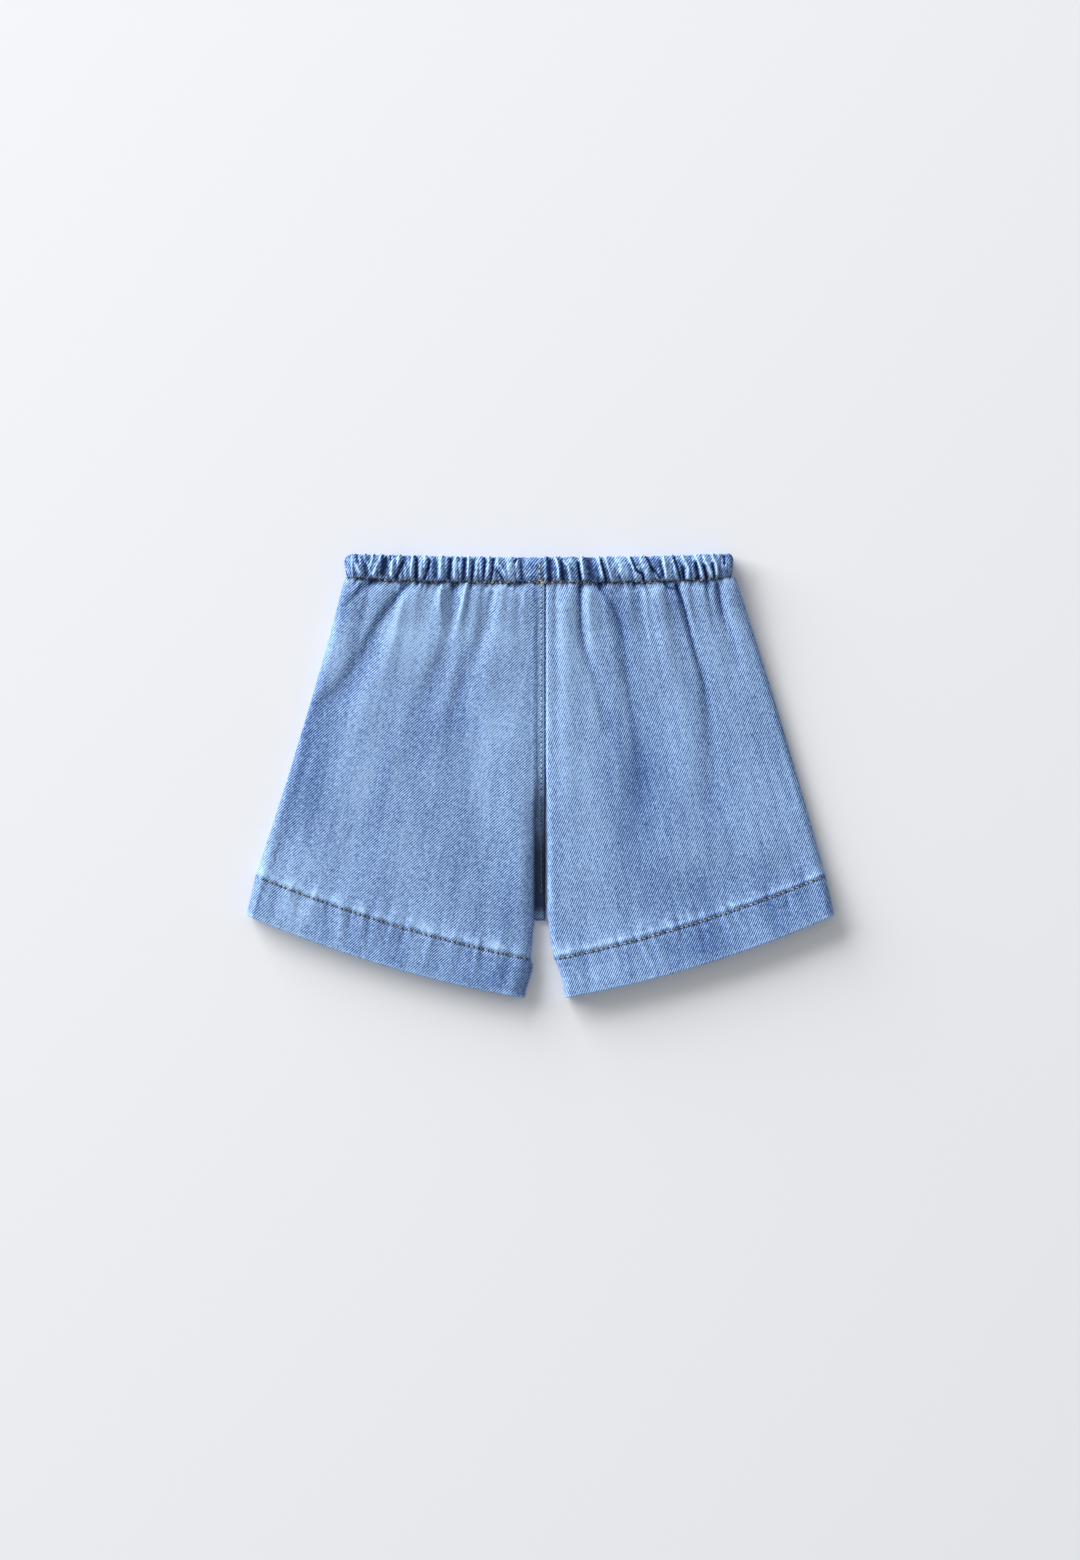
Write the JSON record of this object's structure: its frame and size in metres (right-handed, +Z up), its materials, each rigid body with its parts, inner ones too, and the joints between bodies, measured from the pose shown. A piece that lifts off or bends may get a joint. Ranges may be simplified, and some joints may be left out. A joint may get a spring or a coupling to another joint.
{
  "type": "denim shorts",
  "caption": "Pull-on denim shorts laid flat, with a gathered elastic waist casing, a centre seam, flared legs and wide turned-up hems.",
  "frame": {"origin": "on the surface it lies on, under the middle of its overall box", "axes": "+Z up from the surface to the front of the garment, +Y towards the waistband, +X across it, to the right as seen from above"},
  "size_m": [0.3644, 0.2755, 0.0124],
  "materials": {
    "denim": "washed mid-blue cotton twill, matt, paler where it is worn"
  },
  "bodies": {
    "root": {"waistband_front": "denim", "waistband_back": "denim", "front_panel_left": "denim", "front_hem_left": "denim", "back_panel_left": "denim", "back_hem_left": "denim", "front_panel_right": "denim", "front_hem_right": "denim", "back_panel_right": "denim", "back_hem_right": "denim"}
  },
  "joints": []
}
